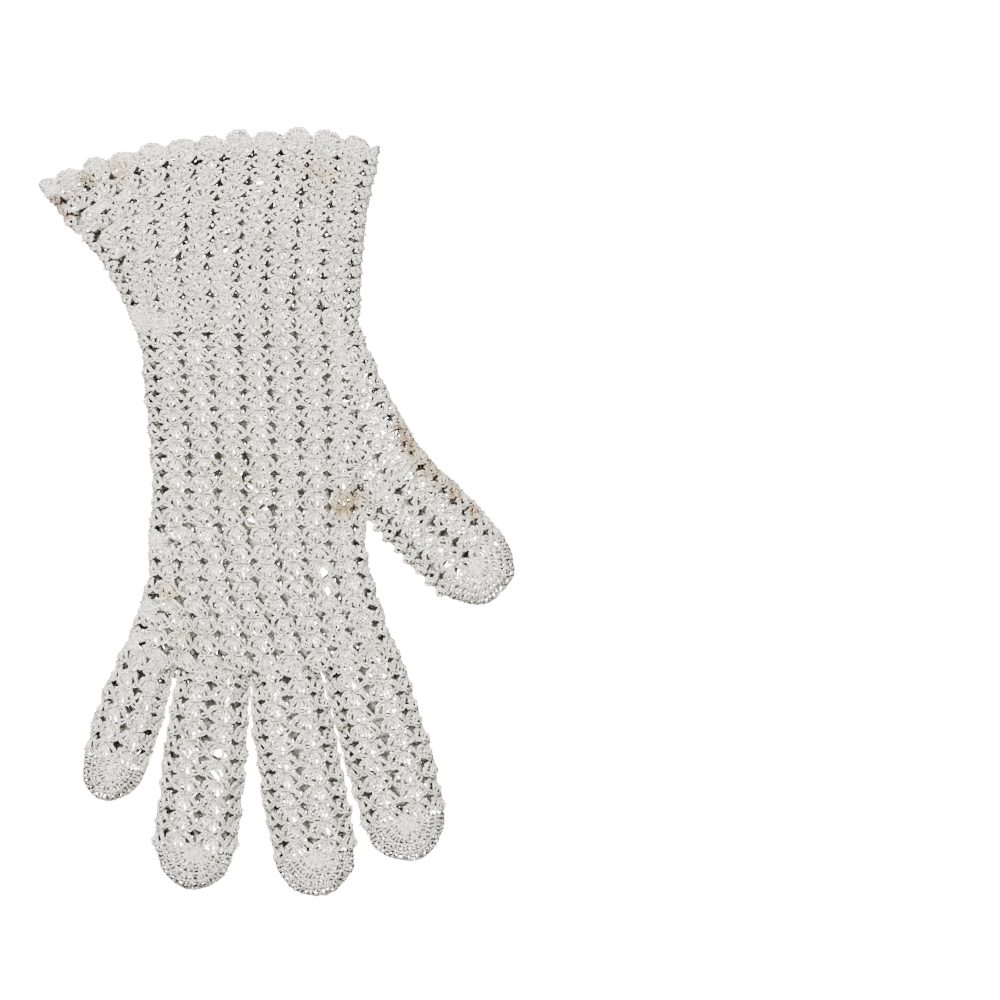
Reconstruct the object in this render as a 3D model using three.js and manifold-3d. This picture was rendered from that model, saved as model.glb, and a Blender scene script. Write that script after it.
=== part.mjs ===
// A crochet dress glove with a flared gauntlet cuff, lying flat on its palm side, fingers towards -Y.
// Millimetres, +Z up. The tables are measured from under the middle of the palm, and the finished glove
// is then moved so that its bounding box is centred on the origin, on the surface that it lies on.
import * as THREE from "three";
import Module from "manifold-3d";

const wasm = await Module();
wasm.setup();

// Fabric
const wall = 1.8; // thickness of the crochet fabric
const foldHeight = 5.4; // height of the soft loop where the fabric turns at each side edge
const pieceGap = 0.3; // gap where two worked sections meet

// Hand and cuff
const palmWidth = 80; // flat width across the palm
const handLength = 127; // wrist to the line where the fingers start
const cuffLength = 60; // wrist to the top of the plain cuff rounds
const palmToWrist = 67.7; // middle of the palm to the wrist
const palmCrown = 4.7; // how far the upper layer bulges over the side loops in the palm
const mouthCrown = 3.8; // the same at the cuff's mouth
const crownPower = 4; // 2 is a round bulge, and more is a flatter one with steeper sides

// Digits
const digitCrown = 4.2; // how far a finger's upper layer bulges over its side loops
const littleLength = 51.4;
const littleWidth = 23.6;
const ringLength = 78;
const ringWidth = 30;
const middleLength = 82;
const middleWidth = 30.2;
const indexLength = 74.5;
const indexWidth = 30.8;
const thumbLength = 55;
const thumbWidth = 31.8;

// Edging of the cuff's mouth
const edgingHeight = 2.6; // from the cuff's last round to the notch between two scallops
const scallopHeight = 2.4; // how far each scallop stands above the notch
const scallopsPerSide = 12; // scallops on the upper layer, and as many on the lower one
const stepsPerScallop = 5;

const halfPalm = palmWidth / 2;
const ringSteps = { bottom: 6, side: 3, top: 14 };
const digitSteps = { bottom: 4, side: 3, top: 8 };
const leastFlat = 0.1; // least share of a ring's width that isn't side loop
const roundsBetween = 1; // lofted rounds between two rows of a table of sections

// Sections of the cuff and hand, from the mouth to the finger line. left and right are the side
// edges' distances from the middle, in half palm widths. up is how far the edges and the middle lie
// above the wrist, in cuff lengths, and down how far below it, in hand lengths. crown is a share.
const cuffSections = [
  { left: 1.9, right: 1.09, leftUp: 0.79, rightUp: 1.02, middleUp: 1.07, crown: 0 },
  { left: 1.7, right: 1.045, leftUp: 0.6, rightUp: 0.85, middleUp: 0.87, crown: 0.15 },
  { left: 1.53, right: 0.985, leftUp: 0.49, rightUp: 0.68, middleUp: 0.69, crown: 0.3 },
  { left: 1.38, right: 0.965, leftUp: 0.35, rightUp: 0.48, middleUp: 0.49, crown: 0.5 },
  { left: 1.2, right: 0.92, leftUp: 0.16, rightUp: 0.24, middleUp: 0.23, crown: 0.7 },
  { left: 1.11, right: 0.925, leftUp: 0, rightUp: 0, middleUp: 0, crown: 0.85 },
];
const handSections = [
  { left: 1.035, right: 0.955, leftDown: 0.096, rightDown: 0.096, middleDown: 0.096, crown: 0.95 },
  { left: 1.005, right: 0.97, leftDown: 0.232, rightDown: 0.232, middleDown: 0.232, crown: 1 },
  { left: 0.945, right: 0.97, leftDown: 0.416, rightDown: 0.416, middleDown: 0.416, crown: 1 },
  { left: 0.972, right: 0.975, leftDown: 0.59, rightDown: 0.59, middleDown: 0.59, crown: 1 },
  { left: 1.0, right: 1.04, leftDown: 0.73, rightDown: 0.72, middleDown: 0.735, crown: 0.94 },
  { left: 1.09, right: 1.14, leftDown: 0.825, rightDown: 0.815, middleDown: 0.85, crown: 0.92 },
  { left: 1.19, right: 1.22, leftDown: 0.895, rightDown: 0.885, middleDown: 0.95, crown: 0.9 },
  { left: 1.2, right: 1.23, leftDown: 0.92, rightDown: 0.91, middleDown: 0.985, crown: 0.88 },
];

// Sections of the thumb's gusset inside the hand, from the wrist to the thumb's root. across is in
// half palm widths from the middle and down in hand lengths below the wrist.
const gussetSections = [
  { leftAcross: 0.5, leftDown: 0.03, rightAcross: 0.93, rightDown: 0.0, crown: 0.35 },
  { leftAcross: 0.5, leftDown: 0.17, rightAcross: 1.06, rightDown: 0.115, crown: 0.6 },
  { leftAcross: 0.53, leftDown: 0.31, rightAcross: 1.25, rightDown: 0.225, crown: 0.8 },
  { leftAcross: 0.72, leftDown: 0.42, rightAcross: 1.41, rightDown: 0.315, crown: 0.95 },
];

// Each digit: its root's middle (across in half palm widths, down in hand lengths below the wrist),
// the way it points in degrees from -Y towards +X, its bend in degrees to the tip, length and width,
// and its width at the root as a share.
const digits = [
  { name: "little_finger", across: -0.99, down: 0.955, turn: -20, bend: 4.5, length: littleLength,
    width: littleWidth, rootShare: 0.88 },
  { name: "ring_finger", across: -0.387, down: 0.984, turn: -7, bend: 2, length: ringLength,
    width: ringWidth, rootShare: 0.84 },
  { name: "middle_finger", across: 0.243, down: 0.975, turn: 8.6, bend: 2, length: middleLength,
    width: middleWidth, rootShare: 0.82 },
  { name: "index_finger", across: 0.925, down: 0.944, turn: 17, bend: -3.5, length: indexLength,
    width: indexWidth, rootShare: 0.91 },
  { name: "thumb", across: 1.2375, down: 0.45, turn: 45, bend: 0, length: thumbLength,
    width: thumbWidth, rootShare: 1 },
];
const rootDepth = 12; // how far a digit's own form reaches back into the hand
const rearShare = 0.84; // its width there, as a share of that at the root

// How far a digit has widened from its root's width to its full one along its straight part, and
// how much of the crown it has there.
const digitProfile = [
  { along: 0, widened: 0, crown: 0.9 },
  { along: 0.15, widened: 0.4, crown: 0.95 },
  { along: 0.35, widened: 0.8, crown: 1 },
  { along: 0.65, widened: 1, crown: 1 },
];
const tipLength = 0.6; // length of the rounded tip, in digit widths
const tipSteps = [0, 0.3, 0.55, 0.75, 0.88, 0.965]; // along the rounded tip
const tipWidth = 0.12; // width of the very end, as a share
const tipCrown = 0.3; // crown of the very end, as a share
const tipDrop = 0.45; // share of the crown that is lost towards the tip

// Creases pressed into the upper layer, from and to as [half palm widths across, hand lengths down],
// and their width and depth in heights of the side loop.
const creases = [
  { from: [-0.72, 0.98], to: [-0.56, 0.83], width: 0.74, depth: 0.333 }, // little finger's root
  { from: [-0.06, 1.02], to: [-0.07, 0.9], width: 0.63, depth: 0.278 }, // between ring and middle
  { from: [0.55, 0.98], to: [0.5, 0.85], width: 0.63, depth: 0.278 }, // between middle and index
  { from: [1.0, 0.55], to: [0.66, 0.45], width: 0.778, depth: 0.407 }, // thumb's crotch
  { from: [-1.8, -0.33], to: [-1.35, -0.38], width: 0.74, depth: 0.222 }, // cuff's drooping corner
];

const mix = (a, b, t) => a + (b - a) * t;

// A point of the plan, from half palm widths across and hand lengths below the wrist.
const planPoint = (across, down) =>
  new THREE.Vector2(across * halfPalm, palmToWrist - down * handLength);

// How deep the creases press the upper layer down at a point of the plan.
function creaseDepth(x, y) {
  const here = new THREE.Vector2(x, y);
  let deepest = 0;
  for (const { from, to, width, depth } of creases) {
    const start = planPoint(...from);
    const run = planPoint(...to).sub(start);
    const share = THREE.MathUtils.clamp(here.clone().sub(start).dot(run) / run.lengthSq(), 0, 1);
    const away = here.distanceTo(start.addScaledVector(run, share)) / (width * foldHeight);
    deepest = Math.max(deepest, depth * foldHeight * Math.exp(-away * away));
  }
  return deepest;
}

// One ring of points round a flattened tube, from its left to its right edge in the plan. It has a
// flat bottom, a half-round loop at each side and a crowned top. inset moves it inside the fabric.
function ringOf(section, steps, inset) {
  const { left, right, bow = 0, crown } = section;
  const half = left.distanceTo(right) / 2 - inset;
  const middle = left.clone().add(right).multiplyScalar(0.5);
  const side = right.clone().sub(left).normalize();
  const ahead = new THREE.Vector2(-side.y, side.x);
  const radius = foldHeight / 2 - inset;
  const flat = Math.max(half - radius, half * leastFlat);
  const points = [];
  const add = (across, z, pressed) => {
    const share = across / half;
    const at = middle.clone().addScaledVector(side, across);
    at.addScaledVector(ahead, bow * (1 - Math.abs(share) ** 3));
    points.push([at.x, at.y, z - (pressed ? creaseDepth(at.x, at.y) : 0)]);
  };
  for (let i = 0; i < steps.bottom; i++) add(mix(-flat, flat, i / steps.bottom), inset, false);
  const loop = (centre, first) => {
    for (let i = 0; i < steps.side; i++) {
      const angle = first + (Math.PI * i) / steps.side;
      add(centre + radius * Math.cos(angle), inset + radius * (1 + Math.sin(angle)), false);
    }
  };
  loop(flat, -Math.PI / 2);
  for (let i = 0; i < steps.top; i++) {
    const share = mix(1, -1, i / steps.top);
    const rise = crown * (1 - Math.abs(share) ** crownPower);
    add(share * flat, inset + 2 * radius + rise, i > 0);
  }
  loop(-flat, Math.PI / 2);
  return points;
}

// A closed solid through rings with the same number of points, its ends capped.
function loft(rings) {
  const count = rings[0].length;
  const positions = rings.flat();
  const faces = [];
  for (let r = 0; r + 1 < rings.length; r++)
    for (let i = 0; i < count; i++) {
      const a = r * count + i;
      const b = r * count + ((i + 1) % count);
      faces.push([a, b, b + count], [a, b + count, a + count]);
    }
  const cap = (first, flip) => {
    const ring = positions.slice(first, first + count);
    const centre = positions.push([0, 1, 2].map((k) => ring.reduce((s, p) => s + p[k], 0) / count));
    for (let i = 0; i < count; i++) {
      const pair = [first + i, first + ((i + 1) % count)];
      faces.push(flip ? [centre - 1, pair[1], pair[0]] : [centre - 1, pair[0], pair[1]]);
    }
  };
  cap(0, true);
  cap((rings.length - 1) * count, false);
  return solidOf(positions, faces);
}

// A manifold solid from points and triangles, turned so that its faces point out.
function solidOf(positions, faces) {
  const volume = faces.reduce((sum, face) => {
    const [a, b, c] = face.map((i) => new THREE.Vector3(...positions[i]));
    return sum + a.dot(b.cross(c));
  }, 0);
  const turned = volume < 0 ? faces.map(([a, b, c]) => [a, c, b]) : faces;
  return new wasm.Manifold(
    new wasm.Mesh({
      numProp: 3,
      vertProperties: Float32Array.from(positions.flat()),
      triVerts: Uint32Array.from(turned.flat()),
    }),
  );
}

// Rows of numbers between the rows of a table, on a smooth curve through them.
function smoothed(rows, between) {
  const keys = Object.keys(rows[0]);
  const out = [];
  for (let i = 0; i + 1 < rows.length; i++)
    for (let k = 0; k <= between; k++) {
      const t = k / (between + 1);
      const near = [Math.max(i - 1, 0), i, i + 1, Math.min(i + 2, rows.length - 1)].map((j) => rows[j]);
      out.push(Object.fromEntries(keys.map((key) => [key, curveThrough(near.map((row) => row[key]), t)])));
    }
  out.push({ ...rows.at(-1) });
  return out;
}

// Catmull-Rom value between the second and third of four numbers.
function curveThrough([a, b, c, d], t) {
  return b + 0.5 * t * (c - a + t * (2 * a - 5 * b + 4 * c - d + t * (3 * (b - c) + d - a)));
}

// The body's sections as points of the plan, from the mouth to the finger line.
function bodySections() {
  const cuffRows = cuffSections.map((s) => ({
    leftX: -s.left * halfPalm,
    leftY: palmToWrist + s.leftUp * cuffLength,
    rightX: s.right * halfPalm,
    rightY: palmToWrist + s.rightUp * cuffLength,
    middleY: palmToWrist + s.middleUp * cuffLength,
    crown: mix(mouthCrown, palmCrown, s.crown),
  }));
  const handRows = handSections.map((s) => ({
    leftX: -s.left * halfPalm,
    leftY: palmToWrist - s.leftDown * handLength,
    rightX: s.right * halfPalm,
    rightY: palmToWrist - s.rightDown * handLength,
    middleY: palmToWrist - s.middleDown * handLength,
    crown: s.crown * palmCrown,
  }));
  return smoothed([...cuffRows, ...handRows], roundsBetween).map((row) => ({
    left: new THREE.Vector2(row.leftX, row.leftY),
    right: new THREE.Vector2(row.rightX, row.rightY),
    bow: row.middleY - (row.leftY + row.rightY) / 2,
    crown: row.crown,
  }));
}

// A section moved along the glove's length.
const movedBy = (section, dy) => ({
  ...section,
  left: section.left.clone().add(new THREE.Vector2(0, dy)),
  right: section.right.clone().add(new THREE.Vector2(0, dy)),
});

// The way that a digit points after a share of its length, and its middle line's point there.
function digitFrame(digit, distance) {
  const steps = 12;
  const at = planPoint(digit.across, digit.down);
  const heading = (s) => THREE.MathUtils.degToRad(digit.turn + digit.bend * (s / digit.length));
  const way = (s) => new THREE.Vector2(Math.sin(heading(s)), -Math.cos(heading(s)));
  for (let i = 0; i < steps; i++) at.addScaledVector(way(((i + 0.5) / steps) * distance), distance / steps);
  return { at, way: way(distance) };
}

// A digit's sections from inside the hand to its rounded tip; inset shortens the tip as well.
function digitSections(digit, inset) {
  const tip = tipLength * digit.width;
  const straight = digit.length - tip;
  const rows = digitProfile.map((p) => ({
    distance: p.along * straight,
    width: mix(digit.rootShare, 1, p.widened) * digit.width,
    crown: p.crown * digitCrown,
  }));
  rows.unshift({ distance: -rootDepth, width: rearShare * rows[0].width, crown: 0 });
  for (const share of tipSteps) {
    const round = Math.sqrt(1 - share * share);
    rows.push({
      distance: straight + share * (tip - inset),
      width: mix(tipWidth, 1, round) * digit.width,
      crown: digitCrown * (1 - tipDrop * share * share) * mix(tipCrown, 1, round),
    });
  }
  return rows.map((row) => {
    const { at, way } = digitFrame(digit, row.distance);
    const side = new THREE.Vector2(-way.y, way.x);
    return {
      left: at.clone().addScaledVector(side, -row.width / 2),
      right: at.clone().addScaledVector(side, row.width / 2),
      crown: row.crown,
    };
  });
}

// A digit's closed form, its skin set in by inset, or out where that is negative.
function digitForm(digit, inset) {
  return loft(digitSections(digit, inset).map((s) => ringOf(s, digitSteps, inset)));
}

// The gusset's sections, ending at the thumb's own section just inside its root.
function gussetRows() {
  const rows = gussetSections.map((s) => ({
    leftX: s.leftAcross * halfPalm,
    leftY: palmToWrist - s.leftDown * handLength,
    rightX: s.rightAcross * halfPalm,
    rightY: palmToWrist - s.rightDown * handLength,
    crown: s.crown * digitCrown,
  }));
  const thumb = digits.at(-1);
  const { at, way } = digitFrame(thumb, 0);
  const side = new THREE.Vector2(-way.y, way.x).multiplyScalar((thumb.rootShare * thumb.width) / 2);
  const root = { crown: digitProfile[0].crown * digitCrown };
  [root.leftX, root.leftY] = at.clone().sub(side).toArray();
  [root.rightX, root.rightY] = at.clone().add(side).toArray();
  return smoothed([...rows, root], 1).map((row) => ({
    left: new THREE.Vector2(row.leftX, row.leftY),
    right: new THREE.Vector2(row.rightX, row.rightY),
    crown: row.crown,
  }));
}

// The mouth's scalloped edging: a wall on the cuff's last ring, its top edge in even scallops.
function edgingSolid(sections) {
  const across = scallopsPerSide * stepsPerScallop;
  const steps = { bottom: across, side: stepsPerScallop, top: across };
  const [mouth, below] = sections;
  const bands = [0, wall].map((inset) => [ringOf(mouth, steps, inset), ringOf(below, steps, inset)]);
  const raised = (band, i, height) => {
    const [at, under] = band.map((ring) => new THREE.Vector3(...ring[i]));
    const way = at.clone().sub(under).setZ(0).normalize();
    return at.addScaledVector(way, height).toArray();
  };
  const count = bands[0][0].length;
  const positions = [];
  for (let i = 0; i < count; i++) {
    const lobe = Math.abs(Math.sin((Math.PI * i) / stepsPerScallop));
    const top = pieceGap + edgingHeight + scallopHeight * lobe;
    for (const band of bands) positions.push(raised(band, i, pieceGap), raised(band, i, top));
  }
  const faces = [];
  for (let i = 0; i < count; i++) {
    const [a, b] = [4 * i, 4 * ((i + 1) % count)];
    for (const [from, to] of [[0, 1], [1, 3], [3, 2], [2, 0]])
      faces.push([a + from, b + from, b + to], [a + from, b + to, a + to]);
  }
  return solidOf(positions, faces);
}

// The hand, cuff and digits are cut from one hollow form, so that their walls line up.
function gloveSolids() {
  const sections = bodySections();
  const bodyOuter = loft(sections.map((s) => ringOf(s, ringSteps, 0)));
  const last = sections.length - 1;
  const hollow = sections.map((s, i) => {
    if (i === 0) return movedBy(s, wall);
    return i === last ? movedBy(s, wall) : s;
  });
  const bodyInner = loft(hollow.map((s) => ringOf(s, ringSteps, wall)));
  const gusset = gussetRows();
  const gussetOuter = loft(gusset.map((s) => ringOf(s, digitSteps, 0)));
  const gussetInner = loft(gusset.map((s) => ringOf(s, digitSteps, wall)));

  const made = {};
  let outside = bodyOuter.add(gussetOuter);
  let inside = bodyInner.add(gussetInner);
  for (const digit of digits) {
    outside = outside.add(digitForm(digit, 0));
    inside = inside.add(digitForm(digit, wall));
  }
  let fabric = outside.subtract(inside);
  for (const digit of digits) {
    const { at, way } = digitFrame(digit, 0);
    const root = at.dot(way);
    const direction = [way.x, way.y, 0];
    const tube = digitForm(digit, 0).subtract(digitForm(digit, wall));
    made[digit.name] = tube.trimByPlane(direction, root + pieceGap);
    fabric = fabric.subtract(digitForm(digit, -pieceGap).trimByPlane(direction, root));
  }
  made.cuff = fabric.trimByPlane([0, 1, 0], palmToWrist + pieceGap / 2);
  made.hand = mainBody(fabric.trimByPlane([0, -1, 0], -(palmToWrist - pieceGap / 2)));
  made.cuff_edging = edgingSolid(sections);
  return made;
}

// The main body of a cut solid, without the crumbs and pinholes that its cutting may leave.
const mainBody = (solid) => solid.decompose().reduce((a, b) => (a.volume() > b.volume() ? a : b));

// Cotton thread, with the edging and the tightly worked fingers a shade apart.
const cotton = {
  body: { color: 0xdedcd6, roughness: 0.92, metalness: 0 },
  fingers: { color: 0xdbdad3, roughness: 0.92, metalness: 0 },
  edging: { color: 0xdad7cf, roughness: 0.94, metalness: 0 },
};
const finishOf = { hand: cotton.body, cuff: cotton.body, cuff_edging: cotton.edging };

function meshOf(name, solid) {
  const made = solid.getMesh();
  const positions = new Float32Array(made.numVert * 3);
  for (let i = 0; i < made.numVert; i++)
    positions.set(made.vertProperties.subarray(i * made.numProp, i * made.numProp + 3), i * 3);
  const geometry = new THREE.BufferGeometry()
    .setAttribute("position", new THREE.BufferAttribute(positions, 3))
    .setIndex(new THREE.BufferAttribute(made.triVerts, 1));
  geometry.computeVertexNormals();
  const mesh = new THREE.Mesh(geometry, new THREE.MeshStandardMaterial(finishOf[name] ?? cotton.fingers));
  mesh.name = name;
  return mesh;
}

const glove = new THREE.Group();
for (const [name, solid] of Object.entries(gloveSolids())) glove.add(meshOf(name, solid));
const extent = new THREE.Box3().setFromObject(glove);
const centre = extent.getCenter(new THREE.Vector3());
glove.position.set(-centre.x, -centre.y, -extent.min.z);

export default glove;
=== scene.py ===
"""Looks of the crochet glove: the strands of its stitches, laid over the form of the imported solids."""
import math

import bpy
import numpy as np
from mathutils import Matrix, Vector


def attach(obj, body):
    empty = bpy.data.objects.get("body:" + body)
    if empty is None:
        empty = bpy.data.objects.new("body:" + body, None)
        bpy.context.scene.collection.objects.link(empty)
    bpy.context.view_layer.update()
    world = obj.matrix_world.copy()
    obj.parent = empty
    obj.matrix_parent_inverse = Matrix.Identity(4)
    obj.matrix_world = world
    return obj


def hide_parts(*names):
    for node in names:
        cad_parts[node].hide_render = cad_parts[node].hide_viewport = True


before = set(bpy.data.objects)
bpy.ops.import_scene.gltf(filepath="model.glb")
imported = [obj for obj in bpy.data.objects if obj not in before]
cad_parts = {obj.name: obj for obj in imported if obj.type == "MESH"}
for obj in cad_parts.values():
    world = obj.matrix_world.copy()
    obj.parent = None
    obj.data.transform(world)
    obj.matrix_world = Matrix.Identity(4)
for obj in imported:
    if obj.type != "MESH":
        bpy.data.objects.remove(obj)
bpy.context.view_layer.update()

rng = np.random.default_rng(7)

# A millimetre in metres, the scene's unit
MM = 0.001

# Sizes of the form, in millimetres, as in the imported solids
WALL = 1.8
FOLD = 5.4
PALM_WIDTH = 80
HALF_PALM = PALM_WIDTH / 2
HAND_LENGTH = 127
CUFF_LENGTH = 60
WRIST = 67.7
PALM_CROWN = 4.7
MOUTH_CROWN = 3.8
DIGIT_CROWN = 4.2
CROWN_POWER = 4
PALM_MIDDLE = np.array([-6.94, -0.963])

# The two folds of a tube, as shares of a turn from the middle of its upper layer
RIGHT_FOLD = 0.25
LEFT_FOLD = 0.75

# Sizes of the stitches, in millimetres. The thread's radius is larger on the lower layer, to close its gaps.
THREAD = 0.41
LOWER_THREAD = 0.66
SIDES = 5
KNOT = (3.2, 2.7)
SHELL_HEIGHT = 6.5
THUMB_SHELL_HEIGHT = 5.7
DIGIT_COLUMN = 10.4
LOWER_SHIFT = 0.25
GUSSET_END = 2
ROOT_RUN = 2.5

# The closely worked tips: their reach, their outline and the strands over their edge
TIP_REACH = 15
TIP_LAP = 1
TIP_START = 0.4
TIP_MARGIN = 0.15
TIP_EDGE = 0.9
TIP_OUTLINE_POINTS = 60
EDGE_PITCH = 0.95
EDGE_POINTS = 5
EDGE_TILT = 0.4
EDGE_HEIGHT = 0.4
EDGE_INSET = 1.3

# How far stitches stray from each other, in shares of a cell, and the tips' stitches, in millimetres
STRAY = {"lean": 0.04, "height": 0.05, "width": 0.04, "across": 0.012, "up": 0.018}
TIP_STRAY = {"strand": 0.12, "across": 0.15, "up": 0.1, "height": 0.08, "edge": 0.12}

# The share of a stitch's height up to which it grows, how a flare swells over it and spreads across a cell
HEAD = 0.9
SWELL_POWER = 1.3
FLARE_SPREAD = 0.3

# Strands at a tube's start, such as between the fingers, lie this much lower, and less so over a run
END_DROP = 0.15
END_RUN = 6

# More shells fill the left of the rounds at the wrist, and of those whose leftmost column is this many
# times as wide as their rightmost one
STRETCHED = 1.35
EXTRA_SHELLS = [
    # columns back from the left fold, share of a round ahead
    (0.5, 0),
    (0.3, 0.5),
    (0, 0.5),
    (0.15, 0.25),
]
ROUND_HEIGHTS = [
    # up from the middle of the palm, height of a round there
    (-34, 6.5),
    (-5, 6.45),
    (23, 6.1),
    (52, 5.4),
    (81, 5.05),
    (117, 4.8),
]
FAN_POWER = 3
COLUMN_WIDTHS = [
    # up from the middle of the palm, width of a column there
    (-34, 9.6),
    (23, 9.7),
    (81, 10.1),
    (117, 10.3),
]
SIDE_FLARE = (0.3, 0.6)
FLARES = {
    # at a tube's left fold and at its right one: how far shells stand out, and draw in between two rounds
    "little_finger": ((0.4, 0.6), (0.3, 0.6)),
    "ring_finger": ((0.7, 0.9), (0.7, 1.6)),
    "middle_finger": ((0.5, 1.8), (1.0, 1.5)),
    "index_finger": ((0.4, 1.8), (0.9, 1.1)),
    "thumb": ((1.5, 1.4), (0, 0.4)),
    "gusset": ((0, 0), (0, 0.4)),
}

# The edging: how many millimetres back from the mouth its close rounds and scallops start, and their heights
# in cells, which scallops lose over a turn. More scallops thicken the corner, some turns aside from the fold.
EDGE_ROUNDS_BACK = (2.2, 0.6)
EDGE_ROUND = 0.85
SCALLOP_BACK = 0.3
SCALLOP = 0.95
SCALLOP_LOSS = 0.5
CORNER_TALL = 5.4
CORNER_FLARE = 0.5
CORNER_BACK = (0, 2.6)
CORNER_ASIDE = (-0.008, 0.002, 0.012)

# The photo: millimetres to a pixel, width in pixels, and the pixels of its centre and the palm's middle.
# Holes worn in the work push strands aside, from the middle out, over some radii.
PIXEL = 0.36
PHOTO_WIDTH = 1000
PHOTO_CENTRE = (500, 500)
PALM_PIXEL = (258, 515)
HOLE_SPREAD = 1.7
HOLE_MIDDLE = 0.05
HOLES = [
    # pixels across and down, radius in pixels
    (201, 179, 3),
    (200, 196, 2.5),
    (261, 182, 3.5),
    (260, 194, 2.5),
    (229, 237, 5),
    (227, 251, 3.5),
    (256, 250, 3),
    (311, 272, 3),
    (311, 283, 2.5),
    (251, 487, 3),
    (265, 507, 3),
    (252, 521, 4),
    (276, 519, 3.5),
    (303, 503, 3),
    (303, 518, 3),
    (325, 572, 3.5),
    (328, 592, 3.5),
    (218, 752, 4),
    (217, 775, 3.5),
    (217, 793, 3),
    (445, 563, 2.5),
    (458, 572, 3),
]
# Stains on the cotton, and painted shade where folds lie: under the cuff's curled left corner and along a
# fold of the hand
STAINS_AND_FOLD_SHADE = [
    # pixels across and down, radius in pixels, strength, colour that the cotton is multiplied by
    # painted shade inside the curled-over left corner of the cuff, in these three rows
    (57, 207, 13, 1.0, (0.42, 0.27, 0.22)),
    (66, 216, 9, 0.8, (0.5, 0.34, 0.27)),
    (70, 197, 9, 0.5, (0.66, 0.5, 0.44)),
    (90, 182, 13, 0.8, (0.4, 0.36, 0.2)),
    (118, 172, 20, 0.5, (0.8, 0.6, 0.42)),
    (228, 216, 8, 0.6, (0.66, 0.46, 0.34)),
    (217, 327, 13, 0.7, (0.55, 0.36, 0.2)),
    (320, 175, 32, 0.35, (0.68, 0.54, 0.42)),
    (193, 636, 26, 0.28, (0.72, 0.6, 0.42)),
    # painted shadow of a fold
    (222, 662, 14, 0.5, (0.6, 0.46, 0.34)),
    (160, 745, 14, 0.4, (0.68, 0.54, 0.4)),
    (372, 657, 14, 0.4, (0.72, 0.66, 0.5)),
    (170, 595, 18, 0.4, (0.8, 0.7, 0.42)),
    (350, 500, 24, 0.45, (0.62, 0.5, 0.3)),
    (343, 508, 16, 0.5, (0.6, 0.46, 0.28)),
    (435, 465, 34, 0.45, (0.72, 0.58, 0.42)),
    (408, 440, 22, 0.4, (0.68, 0.5, 0.38)),
    (398, 429, 12, 0.5, (0.62, 0.44, 0.3)),
    (406, 452, 12, 0.4, (0.68, 0.48, 0.32)),
    (455, 493, 14, 0.5, (0.66, 0.46, 0.3)),
    (475, 510, 12, 0.45, (0.66, 0.48, 0.32)),
    (245, 478, 46, 0.3, (0.7, 0.76, 0.56)),
]

# Colours of the cotton, and the grey of the painted shade, with how much of it there is deep down between the
# strands and along their sides
CREAM = (0.52, 0.485, 0.4, 1)
WHITE = (0.66, 0.635, 0.56, 1)
PAINTED_SHADE_GREY = (0.19, 0.178, 0.148, 1)
DEEP_PAINTED_SHADE = 0.9
SIDE_PAINTED_SHADE = 0.5

# How the cotton shines
COTTON_LOOKS = {"Roughness": 0.33, "Specular IOR Level": 0.8, "Sheen Weight": 0.15, "Sheen Roughness": 0.5}

# Heights in the fabric, in millimetres, at which the painted shade is darkest and at which it is gone
DEEPEST = -0.8
UNSHADED_HEIGHT = 1.25

# Plies of a strand, the millimetres along it from one to the next, and the range in which its twist starts
PLIES = 2
PLY_PITCH = 1.5
TWIST_REACH = 10

# What makes the cotton lighter or darker: in all, from strand to strand, over plies as painted highlight and
# shade along their twist, and over fibres
LIGHT = -0.1
STRAND_LIGHT = 0.14
PLY_PAINTED_SHADING = 0.42
FIBRE_LIGHT = 2.2

# How strong the stains and the painted shade of folds are in all, and how high their middles lie, in metres
STAIN_AND_FOLD_SHADE_STRENGTH = 5.5
STAIN_AND_FOLD_SHADE_HEIGHT = 0.006

# Stage, in metres
CAMERA_HEIGHT = 1.2
SKY = 0.02
LAMPS = [
    # name, place, size, watts
    ("key", (-0.3, 0.9, 1.5), 0.25, 145),
    ("fill", (0.4, -1.0, 1.1), 0.6, 33),
]
FLOOR_LOOKS = {"Roughness": 0.9, "Emission Color": (1, 1, 1, 1), "Emission Strength": 17}
FLOOR_DROP = 0.0004
SWEEP_SIDES = 48
SWEEP = [
    # metres out from the middle, metres up
    (3.0, 0),
    (3.6, 0.12),
    (4.0, 0.5),
    (4.2, 1.2),
    (4.2, 4.0),
]

# Sections of the form. Left and right are in half palm widths, up and down in lengths of the cuff or hand
# from the wrist. A crown is a share of the palm's or a digit's, and the cuff's rises from the mouth's to it.
CUFF_ROWS = [
    # left, right, left up, right up, middle up, crown
    (1.9, 1.09, 0.79, 1.02, 1.07, 0),
    (1.7, 1.045, 0.6, 0.85, 0.87, 0.15),
    (1.53, 0.985, 0.49, 0.68, 0.69, 0.3),
    (1.38, 0.965, 0.35, 0.48, 0.49, 0.5),
    (1.2, 0.92, 0.16, 0.24, 0.23, 0.7),
    (1.11, 0.925, 0, 0, 0, 0.85),
]
HAND_ROWS = [
    # left, right, left down, right down, middle down, crown
    (1.035, 0.955, 0.096, 0.096, 0.096, 0.95),
    (1.005, 0.97, 0.232, 0.232, 0.232, 1),
    (0.945, 0.97, 0.416, 0.416, 0.416, 1),
    (0.972, 0.975, 0.59, 0.59, 0.59, 1),
    (1.0, 1.04, 0.73, 0.72, 0.735, 0.94),
    (1.09, 1.14, 0.825, 0.815, 0.85, 0.92),
    (1.19, 1.22, 0.895, 0.885, 0.95, 0.9),
    (1.2, 1.23, 0.92, 0.91, 0.985, 0.88),
]
GUSSET_ROWS = [
    # left across, left down, right across, right down, crown
    (0.5, 0.03, 0.93, 0.0, 0.35),
    (0.5, 0.17, 1.06, 0.115, 0.6),
    (0.53, 0.31, 1.25, 0.225, 0.8),
    (0.72, 0.42, 1.41, 0.315, 0.95),
]
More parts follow.
